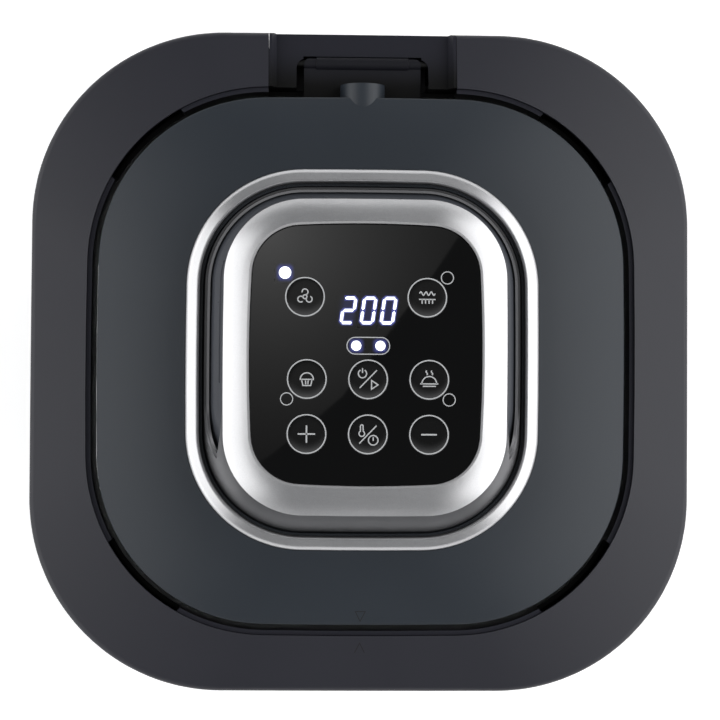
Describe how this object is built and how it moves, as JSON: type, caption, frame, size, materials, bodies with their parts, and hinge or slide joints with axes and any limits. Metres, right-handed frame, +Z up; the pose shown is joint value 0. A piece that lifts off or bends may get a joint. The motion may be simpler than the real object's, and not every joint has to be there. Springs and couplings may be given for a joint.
{
  "type": "glass air fryer",
  "caption": "Countertop air fryer with a glass bowl in a square rounded base, a wide collar, and a hinged lid that carries the fan, heater and a raised touch control pod.",
  "frame": {"origin": "centre of the bounding box at the level the rubber feet stand on", "axes": "+Z up, front towards -Y, hinge and lead inlet towards +Y, +X to the right seen from the front"},
  "size_m": [0.32, 0.32, 0.2424],
  "materials": {
    "collar_plastic": "satin",
    "lid_plastic": "satin",
    "dark_plastic": "matte",
    "pod_plastic": "satin",
    "silver_trim": "satin",
    "rubber": "matte",
    "silicone": "matte",
    "bowl_glass": "polished",
    "panel_glass": "polished",
    "steel": "brushed",
    "heater_steel": "oxidised",
    "coated_steel": "non-stick",
    "motor_paint": "satin",
    "fan_metal": "satin",
    "brass": "satin",
    "board": "satin"
  },
  "bodies": {
    "frame": {"base_housing": "collar_plastic", "base_bottom_cover": "dark_plastic", "rubber_feet": "rubber", "base_screws": "steel", "bowl_seat_pads": "silicone", "glass_bowl": "bowl_glass", "crisper_plate": "coated_steel", "crisper_bumpers": "silicone", "collar_top": "collar_plastic", "collar_inner": "dark_plastic", "column_cap": "collar_plastic", "hinge_pin": "steel", "rear_column_front": "collar_plastic", "rear_column_cover": "collar_plastic", "cap_screws": "steel", "power_inlet": "dark_plastic", "inlet_pins": "brass", "inlet_screws": "steel"},
    "lid": {"lid_plate_ring": "dark_plastic", "lid_seal": "silicone", "lid_cover": "lid_plastic", "lid_screws": "steel", "hinge_tongue": "collar_plastic", "tongue_screws": "steel", "heater_coil": "heater_steel", "heater_clips": "steel", "temperature_probe": "steel", "heat_shield": "steel", "heater_guard": "steel", "motor_bracket": "steel", "fan_motor": "motor_paint", "lid_trim_ring": "silver_trim", "pod_shell": "pod_plastic", "pod_liner": "pod_plastic", "button_carrier": "pod_plastic", "button_spring": "steel", "pod_bezel": "silver_trim", "touch_glass": "panel_glass", "control_board": "board", "display_module": "dark_plastic", "power_board": "board"},
    "fan": {"convection_fan": "fan_metal", "fan_nut": "steel", "cooling_fan": "fan_metal", "motor_shaft": "steel"},
    "button": {"release_button": "pod_plastic"}
  },
  "joints": [
    {"name": "lid_hinge", "type": "hinge", "parent": "frame", "child": "lid", "pos_m": [0, 0.1455, 0.1765], "axis": [-1, 0, 0], "range_deg": [0, 85]},
    {"name": "fan_spin", "type": "hinge", "parent": "lid", "child": "fan", "pos_m": [0, 0, 0.18], "axis": [0, 0, 1], "continuous": true},
    {"name": "button_press", "type": "slide", "parent": "lid", "child": "button", "axis": [0, -1, 0], "range_m": [0, 0.0025], "stiffness_N_per_m": 600, "deforming": ["button_spring"]}
  ]
}
